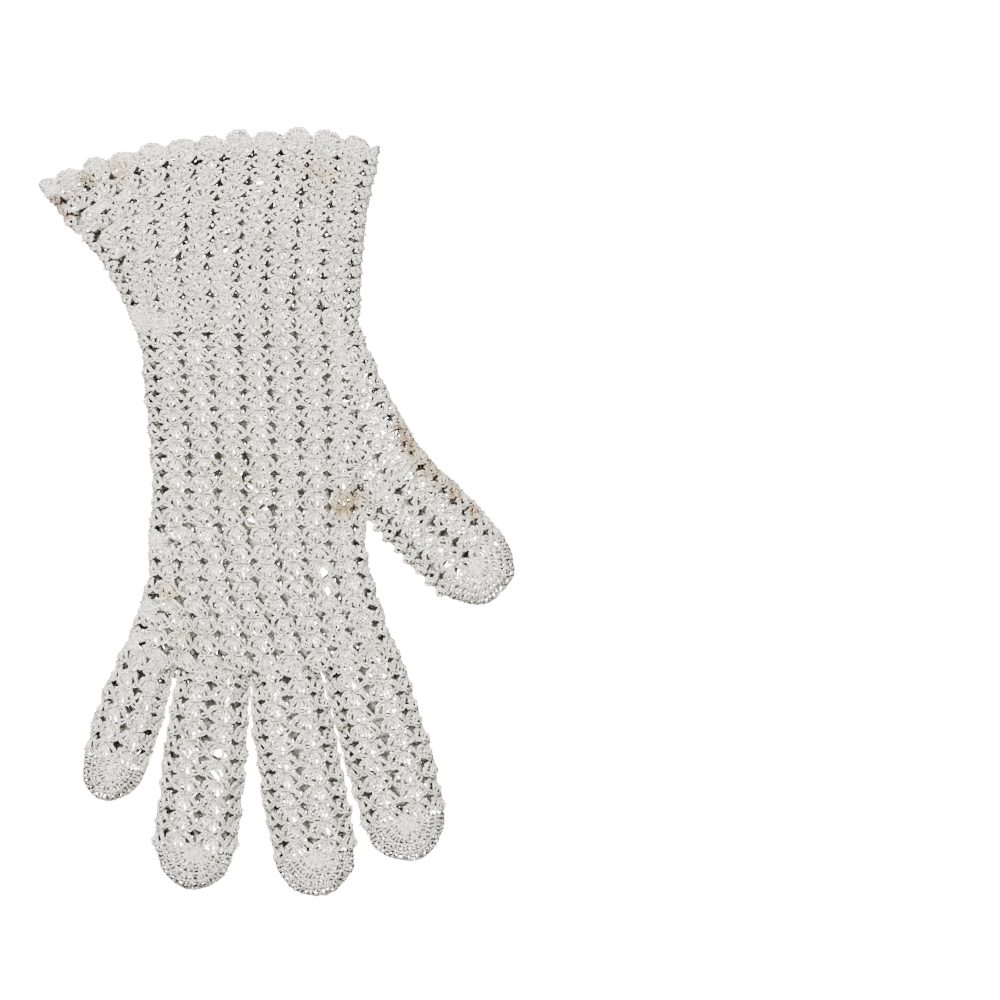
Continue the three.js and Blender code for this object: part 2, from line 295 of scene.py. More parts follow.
DIGITS = {
    # root across, root down, turn, bend, length, width, root's share of the width
    "little_finger": (-0.99, 0.955, -20, 4.5, 51.4, 23.6, 0.88),
    "ring_finger": (-0.387, 0.984, -7, 2, 78, 30, 0.84),
    "middle_finger": (0.243, 0.975, 8.6, 2, 82, 30.2, 0.82),
    "index_finger": (0.925, 0.944, 17, -3.5, 74.5, 30.8, 0.91),
    "thumb": (1.2375, 0.45, 45, 0, 55, 31.8, 1),
}
DIGIT_PROFILE = [
    # share of the straight stretch, share of the widening done, share of the crown
    (0, 0, 0.9),
    (0.15, 0.4, 0.95),
    (0.35, 0.8, 1),
    (0.65, 1, 1),
]

# A tip's length in widths, what it loses of the crown, how it shuts, and the root's reach into the hand
TIP_LENGTH = 0.6
TIP_DROP = 0.45
TIP_SECTIONS = 12
TIP_LOWEST = 0.3
TIP_NARROWEST = 0.0006
TIP_SHUT_POWER = 8
TIP_GAP = 0.02
ROOT_OVERLAP = 4

# Creases pressed into the upper layer: from, to, and width and depth in heights of the side loop
CREASES = [
    ((-0.72, 0.98), (-0.56, 0.83), 0.74, 0.333),
    ((-0.06, 1.02), (-0.07, 0.9), 0.63, 0.278),
    ((0.55, 0.98), (0.5, 0.85), 0.63, 0.278),
    ((1.0, 0.55), (0.66, 0.45), 0.778, 0.407),
    ((-1.8, -0.33), (-1.35, -0.38), 0.74, 0.222),
]


def plan(across, down):
    """A point of the plan, from half palm widths across and hand lengths below the wrist."""
    return np.array([across * HALF_PALM, WRIST - down * HAND_LENGTH])


def lengths_of(line):
    """How far along a line each of its points lies."""
    return np.concatenate([[0], np.cumsum(np.linalg.norm(np.diff(line, axis=0), axis=1))])


def points_at(wanted, lengths, line):
    """A line's points at the lengths wanted, from the lengths of its own points."""
    return np.column_stack([np.interp(wanted, lengths, line[:, k]) for k in range(line.shape[1])])


def catmull(rows, between):
    """Rows of numbers between the rows of a table, on a smooth curve through them."""
    rows = np.asarray(rows, float)
    out = []
    for i in range(len(rows) - 1):
        a, b, c, d = (rows[min(max(i + k, 0), len(rows) - 1)] for k in (-1, 0, 1, 2))
        for k in range(between + 1):
            t = k / (between + 1)
            out.append(b + 0.5 * t * (c - a + t * (2 * a - 5 * b + 4 * c - d + t * (3 * (b - c) + d - a))))
    out.append(rows[-1])
    return np.array(out)


def crease_depth(points):
    """How deep the creases press the upper layer down at points of the plan."""
    deepest = np.zeros(points.shape[:-1])
    for start, end, width, depth in CREASES:
        start, end = plan(*start), plan(*end)
        run = end - start
        share = np.clip((points - start) @ run / (run @ run), 0, 1)
        away = np.linalg.norm(points - start - share[..., None] * run, axis=-1) / (width * FOLD)
        deepest = np.maximum(deepest, depth * FOLD * np.exp(-away * away))
    return deepest


class Tube:
    """A flattened tube through sections, as a grid of points that is even along each ring.

    Stations run from the fingertips' side towards the cuff. Round a ring, turn 0 is the middle of the
    upper layer, a quarter the right side loop, a half the lower layer and three quarters the left one.
    """

    AROUND = 160
    ARC_POINTS = 13
    LAYER_POINTS = 25
    BOW_POWER = 3
    LOOP_SHARE = 0.9
    NARROWEST = 0.3
    END_STEP = 0.5

    def __init__(self, left, right, bow, crown, lift=None):
        heights = np.ones(len(left)) if lift is None else lift
        rings = [self.ring(*section) for section in zip(left, right, bow, crown, heights)]
        self.points, self.shares = (np.array(part) for part in zip(*rings))
        self.half = np.linalg.norm(np.asarray(right) - np.asarray(left), axis=1) / 2
        self.axis = lengths_of((np.asarray(right) + np.asarray(left)) / 2)
        steps = np.linalg.norm(np.diff(self.points, axis=0), axis=2).mean(axis=1)
        self.along = np.concatenate([[0], np.cumsum(steps)])
        self.length = self.along[-1]
        loops = np.linalg.norm(np.diff(self.points, axis=1, append=self.points[:, :1]), axis=2)
        self.perimeter = loops.sum(axis=1)
        ahead = np.gradient(self.points, axis=0)
        aside = np.roll(self.points, -1, axis=1) - np.roll(self.points, 1, axis=1)
        normal = np.cross(aside, ahead)
        self.normals = normal / np.maximum(np.linalg.norm(normal, axis=2, keepdims=True), 1e-9)

    def ring(self, left, right, bow, crown, tall):
        """One section, flat below and crowned above, with side loops, and how far across its points lie."""
        half = np.linalg.norm(right - left) / 2
        middle = (left + right) / 2
        side = (right - left) / (2 * half)
        ahead = np.array([-side[1], side[0]])
        radius = min(FOLD / 2, half * self.LOOP_SHARE)
        flat = half - radius
        arc = np.linspace(0, math.pi, self.ARC_POINTS)[1:-1]
        across = np.linspace(0, 1, self.LAYER_POINTS)
        top = across * flat
        x = np.concatenate([top, flat + radius * np.sin(arc), top[::-1], -top[1:],
                            -flat - radius * np.sin(arc), -top[:0:-1]])
        lid = 2 * radius + crown * (1 - across**CROWN_POWER)
        z = np.concatenate([lid, radius * (1 + np.cos(arc)), 0 * top, 0 * top[1:],
                            radius * (1 - np.cos(arc)), lid[:0:-1]])
        share = x / half
        place = middle + x[:, None] * side + (bow * (1 - np.abs(share) ** self.BOW_POWER))[:, None] * ahead
        upper = np.clip(z / radius - 1, 0, 1)
        z = z - crease_depth(place) * upper
        centre = FOLD / 2
        z = centre + (z + (FOLD / 2 - radius) - centre) * tall
        ring = np.column_stack([place, z])
        closed = np.vstack([ring, ring[:1]])
        span = lengths_of(closed)
        even = np.arange(self.AROUND) / self.AROUND * span[-1]
        return points_at(even, span, closed), np.interp(even, span, np.append(share, share[0]))

    def sample(self, grid, along, turn):
        """Values of a grid at distances along and turns round the tube."""
        i = np.interp(along, self.along, np.arange(len(self.along)))
        i0 = np.clip(i.astype(int), 0, len(self.along) - 2)
        fi = (i - i0)[..., None]
        j = (turn % 1) * self.AROUND
        j0 = j.astype(int) % self.AROUND
        j1 = (j0 + 1) % self.AROUND
        fj = (j - np.floor(j))[..., None]
        near = grid[i0, j0] * (1 - fj) + grid[i0, j1] * fj
        far = grid[i0 + 1, j0] * (1 - fj) + grid[i0 + 1, j1] * fj
        return near * (1 - fi) + far * fi

    def lay(self, along, turn, height):
        """Points and normals at heights over the middle of the wall. Beyond an end they go straight on."""
        place = self.sample(self.points, along, turn)
        normal = self.sample(self.normals, along, turn)
        normal /= np.maximum(np.linalg.norm(normal, axis=-1, keepdims=True), 1e-9)
        beyond = np.clip(along - self.length, 0, None) + np.clip(along, None, 0)
        last = self.sample(self.points, np.clip(along, self.END_STEP, self.length - self.END_STEP), turn)
        ahead = place - last
        scale = np.linalg.norm(ahead, axis=-1, keepdims=True)
        ahead = np.where(scale > 1e-6, ahead / np.maximum(scale, 1e-6), 0)
        place = place + ahead * np.abs(beyond)[..., None] + normal * (height - WALL / 2)[..., None]
        return place, normal

    def turn_of(self, along, across, upper):
        """The turns of points that lie at distances across from the middle line, on one of the layers."""
        share = across / np.maximum(np.interp(along, self.along, self.half), self.NARROWEST)
        stations = np.interp(along, self.along, np.arange(len(self.along)))
        rings = np.clip(np.rint(stations), 0, None).astype(int)
        turns = np.zeros(along.shape)
        for ring in np.unique(rings):
            here = rings == ring
            side = self.shares[ring]
            edge = int(np.argmax(side))
            steps = np.arange(edge + 1) if upper else np.arange(self.AROUND // 2, edge - 1, -1)
            found = np.interp(np.abs(share[here]), np.maximum.accumulate(side[steps]), steps / self.AROUND)
            turns[here] = np.where(share[here] >= 0, found, -found if upper else 1 - found)
        return turns


def body_tube():
    """The hand and cuff as one tube, from between the fingers to the cuff's mouth."""
    cuff = [(-left * HALF_PALM, WRIST + left_up * CUFF_LENGTH,
             right * HALF_PALM, WRIST + right_up * CUFF_LENGTH,
             WRIST + middle_up * CUFF_LENGTH, MOUTH_CROWN + (PALM_CROWN - MOUTH_CROWN) * crown)
            for left, right, left_up, right_up, middle_up, crown in CUFF_ROWS]
    hand = [(*plan(-left, left_down), *plan(right, right_down), plan(0, middle_down)[1], PALM_CROWN * crown)
            for left, right, left_down, right_down, middle_down, crown in HAND_ROWS]
    rows = catmull((cuff + hand)[::-1], between=7)
    left, right = rows[:, :2], rows[:, 2:4]
    return Tube(left, right, rows[:, 4] - (left[:, 1] + right[:, 1]) / 2, rows[:, 5])


def digit_way(turn, bend, length, distance):
    """The way that a digit points at a distance from its root."""
    heading = math.radians(turn + bend * distance / length)
    return np.array([math.sin(heading), -math.cos(heading)])


def digit_place(digit, distance):
    """A digit's middle line at a distance from its root, and the way it points there."""
    across, down, turn, bend, length = digit[:5]
    place = plan(across, down)
    steps = 12
    for i in range(steps):
        place = place + digit_way(turn, bend, length, (i + 0.5) / steps * distance) * distance / steps
    return place, digit_way(turn, bend, length, distance)


def digit_tube(digit):
    """A finger or the thumb as a tube, from its tip to where its root reaches into the hand."""
    length, width, root = digit[4:7]
    tip = TIP_LENGTH * width
    straight = length - tip
    shaft = catmull([(along * straight, (root + (1 - root) * widened) * width, crown * DIGIT_CROWN)
                     for along, widened, crown in DIGIT_PROFILE], between=3)
    rows = [(-ROOT_OVERLAP, shaft[0][1], shaft[0][2], 1)]
    rows += [(*section, 1) for section in shaft]
    for share in np.linspace(0, 1, TIP_SECTIONS)[1:]:
        share = math.sin(share * math.pi / 2)
        wide = math.sqrt(max(1 - share**2, TIP_NARROWEST))
        crown = DIGIT_CROWN * (1 - TIP_DROP * share**2) * (TIP_LOWEST + (1 - TIP_LOWEST) * wide)
        tall = (1 - share**TIP_SHUT_POWER) ** 0.5 + TIP_GAP
        rows.append((straight + share * tip, wide * width, crown, tall))
    rows = np.array(rows[::-1])
    left, right = [], []
    for distance, wide, _, _ in rows:
        place, way = digit_place(digit, distance)
        side = np.array([-way[1], way[0]])
        left.append(place - side * wide / 2)
        right.append(place + side * wide / 2)
    return Tube(np.array(left), np.array(right), np.zeros(len(rows)), rows[:, 2], rows[:, 3])


def gusset_tube():
    """The gusset that carries the thumb, from the thumb's root into the hand."""
    rows = [(*plan(left, left_down), *plan(right, right_down), crown * DIGIT_CROWN)
            for left, left_down, right, right_down, crown in GUSSET_ROWS]
    thumb = DIGITS["thumb"]
    width, root = thumb[5:7]
    place, way = digit_place(thumb, 0)
    side = np.array([-way[1], way[0]]) * root * width / 2
    rows.append((*(place - side), *(place + side), DIGIT_PROFILE[0][2] * DIGIT_CROWN))
    rows = catmull(rows[::-1], between=5)
    return Tube(rows[:, :2], rows[:, 2:4], np.zeros(len(rows)), rows[:, 4])


class Cover:
    """What a tube covers in the plan: its highest height there, and how far it reaches in from its sides."""

    CELL = 0.5
    STEP = 0.25
    NOWHERE = -99.0

    def __init__(self, tube, until=None):
        steps = np.arange(0, until or tube.length, self.STEP)
        turns = np.arange(0, 1, self.STEP / tube.perimeter.max())
        along, turn = np.meshgrid(steps, turns, indexing="ij")
        points = tube.sample(tube.points, along, turn)
        share = tube.sample(tube.shares[..., None], along, turn)[..., 0]
        inset = (1 - np.abs(share)) * np.interp(along, tube.along, tube.half)
        self.start = points[..., :2].min(axis=(0, 1))
        cells = self.cell_of(points)
        shape = tuple(cells.reshape(-1, 2).max(axis=0) + 1)
        self.top = np.full(shape, self.NOWHERE)
        self.inset = np.full(shape, self.NOWHERE)
        np.maximum.at(self.top, (cells[..., 0], cells[..., 1]), points[..., 2])
        np.maximum.at(self.inset, (cells[..., 0], cells[..., 1]), inset)

    def cell_of(self, points):
        return ((points[..., :2] - self.start) / self.CELL).astype(int)

    def at(self, points):
        """The height of the upper layer and the reach in from the sides at points of the plan."""
        cells = self.cell_of(points)
        inside = (points[..., :2] >= self.start).all(axis=-1) & (cells < self.top.shape).all(axis=-1)
        x, y = (np.clip(cells[..., k], 0, self.top.shape[k] - 1) for k in (0, 1))
        return tuple(np.where(inside, grid[x, y], self.NOWHERE) for grid in (self.top, self.inset))


# How far up a normal leans on the upper layer and at least beside it, and how many millimetres in from
# another tube's side, and below its upper layer, a strand lies at least where it is buried
UPPER_LEAN = 0.35
BESIDE_LEAN = -0.5
UPPER_INSET = 0.6
BESIDE_INSET = 0.8
BELOW = 0.9


def buried_in_hand(points, normals):
    """Which strands of the hand's own rounds lie inside a digit or under the gusset."""
    buried = np.zeros(len(points), bool)
    for cover in digit_covers:
        buried |= cover.at(points)[1] > BESIDE_INSET
    top, inset = gusset_cover.at(points)
    upper = normals[:, 2] > UPPER_LEAN
    beside = ~upper & (normals[:, 2] > BESIDE_LEAN)
    buried |= upper & (inset > UPPER_INSET) & (top > points[:, 2] + BELOW)
    return buried | (beside & (inset > BESIDE_INSET))


def buried_in_gusset(points, normals):
    """Which strands of the gusset lie inside the hand."""
    top, inset = body_cover.at(points)
    upper = normals[:, 2] > UPPER_LEAN
    buried = upper & (inset > UPPER_INSET) & (top > points[:, 2] + BELOW)
    return buried | (~upper & (inset > BESIDE_INSET))


# Stitches, each in a cell of 10 x 6 mm from its foot upwards. A strand is a list of points: across and
# up in millimetres, and its height over the middle of the fabric. A cell is stretched to its place.
CELL = (10, 6)
LEG = [
    # share of the way up, share of the spread, height
    (-0.1, 0.4, -0.85),
    (0.1, 0.7, -0.1),
    (0.36, 1, 0.5),
    (0.66, 1, 0.6),
    (0.9, 0.8, 0.3),
    (1.06, 0.5, -0.3),
]
WRAP = [
    # share of the spread, share of the way up, height
    (-1.9, 0.4, 0.0),
    (0, 0.53, 1.0),
    (1.9, 0.68, 0.1),
]


def eased(strand, count):
    """A strand smoothed and cut into count even pieces."""
    rows = catmull(strand, between=7)
    run = lengths_of(rows)
    return points_at(np.linspace(0, run[-1], count + 1), run, rows)


def post(base, bend, top, spread=0.42):
    """One double crochet on a bent way: two legs and the yarn that was wrapped over them."""
    base, bend, top = (np.array(point, float) for point in (base, bend, top))
    run = (top - base) / np.linalg.norm(top - base)
    aside = np.array([-run[1], run[0]])

    def at(share, across):
        line = (1 - share) ** 2 * base + 2 * share * (1 - share) * bend + share * share * top
        return line + aside * across * spread

    legs = [eased([(*at(share, sign * wide), height) for share, wide, height in LEG], count=5)
            for sign in (-1, 1)]
    return legs + [eased([(*at(share, wide), height) for wide, share, height in WRAP], count=2)]


def chain_loop(start, end, bulge=0.62):
    """One stitch of a round's upper edge, seen as two strands that part and meet."""
    start, end = np.array(start, float), np.array(end, float)
    aside = np.array([start[1] - end[1], end[0] - start[0]]) / np.linalg.norm(end - start) * bulge
    middle = start * 0.45 + end * 0.55
    strands = []
    for sign, height in ((-1, 0.75), (1, 0.45)):
        way = [(*start, -0.1), (*(middle + sign * aside), height), (*end, 0.05)]
        strands.append(eased(way, count=3))
    return strands


def shell_stitch():
    """Five double crochets that fan out of one space, and the chain of the round's edge over them."""
    strands = post((0, 0.6), (0, 2.4), (0, 4.5))
    for side in (-1, 1):
        strands += post((0.55 * side, 0.1), (3.6 * side, -0.7), (4.5 * side, 2.7))
        strands += post((0.4 * side, 0.5), (1.9 * side, 1.8), (2.4 * side, 3.9))
        strands += chain_loop((5.2 * side, 2.9), (2.7 * side, 4.4))
        strands += chain_loop((3.0 * side, 4.2), (0.3 * side, 5.5))
    return strands


def knot_stitch():
    """One single crochet of the closely worked tips, in a cell of its own size."""
    leg = [(-0.3, -0.6, -0.5), (-0.8, 0.5, 0.35), (-0.5, 1.7, 0.6), (-0.05, 2.7, 0.1)]
    other = [(-x + 0.1, y, h) for x, y, h in leg]
    chain = [(-1.75, 2.2, 0.05), (-0.6, 2.75, 0.55), (0.5, 2.45, 0.5), (1.75, 2.2, 0.05)]
    under = [(-1.7, 1.0, -0.5), (0, 1.2, -0.4), (1.7, 1.0, -0.5)]
    return [eased(part, count=4) for part in (leg, other, chain)] + [eased(under, count=2)]


def knob_stitch():
    """A scallop of the edging: six posts that fan out under a round edge."""
    strands, edge = [], []
    reach, foot, rise = 3.6, 1.5, 2.8
    for degrees in (-80, -48, -16, 16, 48, 80):
        angle = math.radians(degrees)
        x = reach * math.sin(angle)
        y = foot + rise * math.cos(angle)
        strands += post((0.1 * degrees / 16, 0.2), (0.45 * x, 0.5 * y), (x, y), spread=0.34)
        edge.append((x * 1.1, y + 0.4 * math.cos(angle)))
    for start, end in zip(edge, edge[1:]):
        strands += chain_loop(start, end, bulge=0.5)
    return strands


def new_object(name, data):
    """An object in the scene."""
    made = bpy.data.objects.new(name, data)
    bpy.context.scene.collection.objects.link(made)
    return made


class Thread:
    """Gathers strands and makes one mesh of their tubes."""

    def __init__(self):
        self.batches = []

    def add(self, centres, normals, heights, radius):
        """centres and normals are arrays of strands x points x 3, heights of strands x points."""
        if len(centres):
            self.batches.append((centres, normals, heights, radius))

    def tubes(self, centres, normals, radius):
        """The points and faces of the tubes round a batch of strands, and each corner's texture place."""
        strands, count = centres.shape[:2]
        ahead = np.gradient(centres, axis=1)
        ahead /= np.maximum(np.linalg.norm(ahead, axis=2, keepdims=True), 1e-9)
        aside = np.cross(ahead, normals)
        aside /= np.maximum(np.linalg.norm(aside, axis=2, keepdims=True), 1e-9)
        up = np.cross(aside, ahead)
        angle = np.arange(SIDES) / SIDES * 2 * math.pi
        ring = np.cos(angle)[:, None] * aside[:, :, None] + np.sin(angle)[:, None] * up[:, :, None]
        points = centres[:, :, None] + radius * ring
        index = np.arange(strands * count * SIDES).reshape(strands, count, SIDES)
        turned = np.roll(index, -1, axis=2)
        faces = np.stack([index[:, :-1], turned[:, :-1], turned[:, 1:], index[:, 1:]], axis=-1)
        steps = np.linalg.norm(np.diff(centres, axis=1), axis=2)
        along = np.concatenate([np.zeros((strands, 1)), np.cumsum(steps, axis=1)], axis=1)
        along = along + rng.uniform(0, TWIST_REACH, (strands, 1))
        shape = (strands, count - 1, SIDES)
        here, ahead = (np.broadcast_to(part[:, :, None], shape) for part in (along[:, :-1], along[:, 1:]))
        round_it = np.broadcast_to(np.arange(SIDES) / SIDES, shape)
        after = round_it + 1 / SIDES
        corners = [(here, round_it), (here, after), (ahead, after), (ahead, round_it)]
        places = np.stack([np.stack(corner, axis=-1) for corner in corners], axis=3)
        return points.reshape(-1, 3), faces.reshape(-1, 4), places.reshape(-1, 2)

    def mesh(self, name, material):
        """One object of all the strands, with a shade for each and a depth for each point."""
        points, faces, places, shades, depths = [], [], [], [], []
        start = 0
        for centres, normals, heights, radius in self.batches:
            more_points, more_faces, more_places = self.tubes(centres, normals, radius)
            points.append(more_points)
            faces.append(more_faces + start)
            places.append(more_places)
            shades.append(np.repeat(rng.normal(0, 1, len(centres)), centres.shape[1] * SIDES))
            lift = radius * np.sin(np.arange(SIDES) / SIDES * 2 * math.pi)
            depths.append((heights[..., None] + lift).ravel())
            start += len(more_points)
        points, faces = np.vstack(points), np.vstack(faces)
        points[:, :2] += PALM_MIDDLE
        mesh = bpy.data.meshes.new(name)
        mesh.vertices.add(len(points))
        mesh.vertices.foreach_set("co", (points * MM).ravel())
        mesh.loops.add(faces.size)
        mesh.loops.foreach_set("vertex_index", faces.ravel())
        mesh.polygons.add(len(faces))
        mesh.polygons.foreach_set("loop_start", np.arange(0, faces.size, 4))
        mesh.uv_layers.new(name="strand").data.foreach_set("uv", np.vstack(places).ravel())
        for part, values in (("shade", shades), ("depth", depths)):
            mesh.attributes.new(part, "FLOAT", "POINT").data.foreach_set("value", np.concatenate(values))
        mesh.update(calc_edges=True)
        mesh.validate()
        mesh.shade_smooth()
        mesh.materials.append(material)
        return new_object(name, mesh)


def photo_place(across, down):
    """A pixel of the photo as a point of the plan."""
    return np.array([(across - PALM_PIXEL[0]) * PIXEL, (PALM_PIXEL[1] - down) * PIXEL])


def wander(points, size, reach):
    """A smooth drift of points, the same for all strands that meet."""
    waves, whole_wave = 9, 6.3
    field = np.random.default_rng(3)
    drift = np.zeros(points.shape)
    for _ in range(waves):
        way = field.normal(0, 1, 3) / size
        drift += np.sin(points @ way + field.uniform(0, whole_wave))[..., None] * field.normal(0, 1, 3)
    return drift * reach / math.sqrt(waves)


def settled(points):
    """Strands pulled out of true here and there, and pushed aside round the worn holes."""
    points = points + wander(points, size=4.5, reach=0.42) * np.array([1, 1, 0.35])
    for across, down, radius in HOLES:
        away = points[..., :2] - photo_place(across, down)
        far = np.linalg.norm(away, axis=-1, keepdims=True)
        reach = radius * PIXEL
        push = reach * np.exp(-((far / (HOLE_SPREAD * reach)) ** 2))
        points[..., :2] += away / np.maximum(far, HOLE_MIDDLE) * push
    return points


def varied(size, count, reach):
    """Random numbers for count stitches, for each of size points or one for a whole stitch."""
    return rng.normal(0, reach, (count, 1) if size is None else (count, size))


def work(thread, tube, stitch, cells, buried=None, loose=0.09, radius=THREAD):
    """Lays a stitch in each cell: along, turns of its foot and head, height, width in turns, two flares."""
    cells = np.array(cells, float)
    count = len(cells)
    along, foot, head, tall, wide, out, drawn = (cells[:, k:k + 1] for k in range(7))
    lean = varied(None, count, STRAY["lean"])
    grow = 1 + varied(None, count, STRAY["height"])
    fatter = 1 + varied(None, count, STRAY["width"])
    for strand in stitch:
        size = len(strand)
        x = strand[None, :, 0] / CELL[0] * fatter + varied(None, count, STRAY["across"])
        y = strand[None, :, 1] / CELL[1]
        y = y * np.where(y < HEAD, grow, 1) + varied(None, count, STRAY["up"])
        x = x + lean * y * (1 - y)
        height = strand[None, :, 2] + varied(size, count, loose * 0.6) + varied(None, count, loose)
        swell = np.sin(math.pi * np.clip(y, 0, 1) ** SWELL_POWER)
        height = height + np.exp(-((x / FLARE_SPREAD) ** 2)) * (out * swell - drawn * (1 - swell))
        height = height - END_DROP * np.clip(1 - along / END_RUN, 0, 1)
        up = along + y * tall + varied(size, count, loose)
        turn = foot + (head - foot) * y + x * wide + varied(size, count, loose) / tube.perimeter.max()
        lay(thread, tube, up, turn, height, buried, radius)


def lay(thread, tube, along, turn, height, buried=None, radius=THREAD):
    """Lays strands on a tube, above the floor, but for those that are buried in another one."""
    place, normal = tube.lay(along, turn, height)
    middle = place.shape[1] // 2
    if buried is not None:
        keep = ~buried(place[:, middle], normal[:, middle])
        height = np.broadcast_to(height, keep.shape + height.shape[1:])
        place, normal, height = place[keep], normal[keep], height[keep]
    place = settled(place)
    place[..., 2] = np.maximum(place[..., 2], radius)
    thread.add(place, normal, height, radius)


def rounds(first, last, height):
    """Where each round of stitches starts, and its height, from first to last along a tube."""
    count = max(int(round((last - first) / height)), 1)
    step = (last - first) / count
    return [(first + i * step, step) for i in range(count)]


def body_rounds():
    """Where each round of the hand and cuff starts, and its height."""
    starts = [0.0]
    while starts[-1] < body.length:
        up = np.interp(starts[-1], body.along, body.points[:, 0, 1])
        starts.append(starts[-1] + np.interp(up, *zip(*ROUND_HEIGHTS)))
    starts = np.array(starts) * body.length / starts[-1]
    return list(zip(starts[:-1], np.diff(starts)))


def body_column(along, column):
    """How far a column lies from the right fold on one layer, as a turn, and how many columns there are.

    Columns keep their width at the right, and fan out or close up towards the left fold.
    """
    around = np.interp(along, body.along, body.perimeter)
    up = np.interp(along, body.along, body.points[:, 0, 1])
    width = np.interp(up, *zip(*COLUMN_WIDTHS))
    count = int(round(around / 2 / width))
    spare = around / 2 - width * count
    return (width * column + spare * (column / count) ** FAN_POWER) / around, count


def body_cells(first, last, upper, turned):
    """The shells of one layer of the body between two places along it, turned towards the fingers or not.

    On the lower layer they lie half a round and half a column aside from those of the upper one.
    """
    cells = []
    for along, step in body_rounds():
        if not first <= along + step / 2 < last:
            continue
        if not upper:
            along = along - step / 2
        foot_at, tall = (along + step, -step) if turned else (along, step)
        _, count = body_column(along, 0)
        sign = -1 if upper else 1
        columns = list(range(count + 1) if upper else np.arange(count) + 0.5)
        near, far = (body_column(along, end)[0] - body_column(along, end - 1)[0] for end in (1, count))
        places = [(column, 0) for column in columns]
        if far > STRETCHED * near or abs(along - to_wrist) < step:
            places += [(columns[-1] - back, share * step) for back, share in EXTRA_SHELLS]
        for column, ahead in places:
            foot, head = (body_column(at, column)[0] for at in (foot_at, foot_at + tall))
            wide = body_column(along, column + 0.5)[0] - body_column(along, column - 0.5)[0]
            flare = SIDE_FLARE if column in (0, count) else (0, 0)
            if column == count:
                foot = head = 0.5
            turns = (RIGHT_FOLD + sign * foot, RIGHT_FOLD + sign * head)
            cells.append((foot_at + ahead, *turns, tall, wide, *flare))
    return cells


def tube_cells(tube, first, last, height, left, right):
    """The shells of a digit or the gusset, with a column on each fold that flares out there.

    On the lower layer they lie a quarter of a round towards the root and half a column aside.
    """
    cells = []
    for along, step in rounds(first, last, height):
        around = np.interp(along, tube.along, tube.perimeter)
        count = 2 * max(int(round(around / (2 * DIGIT_COLUMN))), 1)
        for column in [*(np.arange(count // 2) + 0.5), *range(count // 2, count + 1)]:
            turn = RIGHT_FOLD + column / count
            flare = right if column == count else left if column == count // 2 else (0, 0)
            at = along + (LOWER_SHIFT * step if column < count // 2 else 0)
            cells.append((at + step, turn, turn, -step, 1 / count, *flare))
    return cells


def work_tip_edge(thread, tube, outline):
    """Short strands that turn over a tip's edge, from its upper layer to its lower one."""
    length = lengths_of(outline)
    even = np.arange(TIP_START, length[-1], EDGE_PITCH)
    across, down = points_at(even, length, outline).T[..., None]
    to_and_fro = np.where(np.arange(len(even)) % 2, 1, -1)[:, None]
    tilt = np.linspace(-EDGE_TILT, EDGE_TILT, EDGE_POINTS) * to_and_fro
    down = down + varied(EDGE_POINTS, len(even), TIP_STRAY["up"]) + tilt
    along = np.interp(np.maximum(down, TIP_MARGIN), tube.axis, tube.along)
    inner = across * np.clip(1 - EDGE_INSET / np.maximum(np.abs(across), 0.1), 0.3, 1)
    upper, lower = (tube.turn_of(along, inner * np.ones_like(down), layer) for layer in (True, False))
    lower = np.where(across < 0, lower - 1, lower)
    turn = upper + (lower - upper) * np.linspace(0, 1, EDGE_POINTS)
    lay(thread, tube, along, turn, EDGE_HEIGHT + varied(EDGE_POINTS, len(even), TIP_STRAY["edge"]))


def work_tip(thread, tube):
    """Rounds of single crochet that follow a tip's outline, on both layers."""
    down = np.linspace(TIP_START, TIP_REACH + KNOT[1], TIP_OUTLINE_POINTS)
    half = np.interp(down, tube.axis, tube.half)
    outline = np.vstack([np.column_stack([-half, down])[::-1], np.column_stack([half, down])])
    run = np.gradient(outline, axis=0)
    run /= np.linalg.norm(run, axis=1, keepdims=True)
    inward = np.column_stack([-run[:, 1], run[:, 0]])
    work_tip_edge(thread, tube, outline)
    for level in range(int(half.max() / KNOT[1])):
        curve = outline + inward * (level * KNOT[1] + TIP_EDGE)
        length = lengths_of(curve)
        even = np.arange(KNOT[0] * (0.5 + 0.5 * (level % 2)), length[-1], KNOT[0])
        at, way, inner = (points_at(even, length, part) for part in (curve, run, inward))
        keep = (at[:, 1] < TIP_REACH) & (np.abs(at[:, 0]) < np.interp(at[:, 1], tube.axis, tube.half))
        keep &= (at[:, 0] * way[:, 1] > -1) & (at[:, 1] > 0)
        at, way, inner = at[keep], way[keep], inner[keep]
        for upper in (True, False):
            for strand in knot_stitch():
                size = len(strand)
                x = strand[None, :, 0] + varied(size, len(at), TIP_STRAY["strand"])
                x = x + varied(None, len(at), TIP_STRAY["across"])
                y = strand[None, :, 1] + varied(size, len(at), TIP_STRAY["up"])
                place = at[:, None] + x[..., None] * way[:, None] + y[..., None] * inner[:, None]
                height = strand[None, :, 2] + varied(size, len(at), TIP_STRAY["height"])
                place[..., 1] = np.maximum(place[..., 1], TIP_MARGIN)
                along = np.interp(place[..., 1], tube.axis, tube.along)
                turn = tube.turn_of(along, place[..., 0], upper)
                lay(thread, tube, along, turn, np.broadcast_to(height, turn.shape))


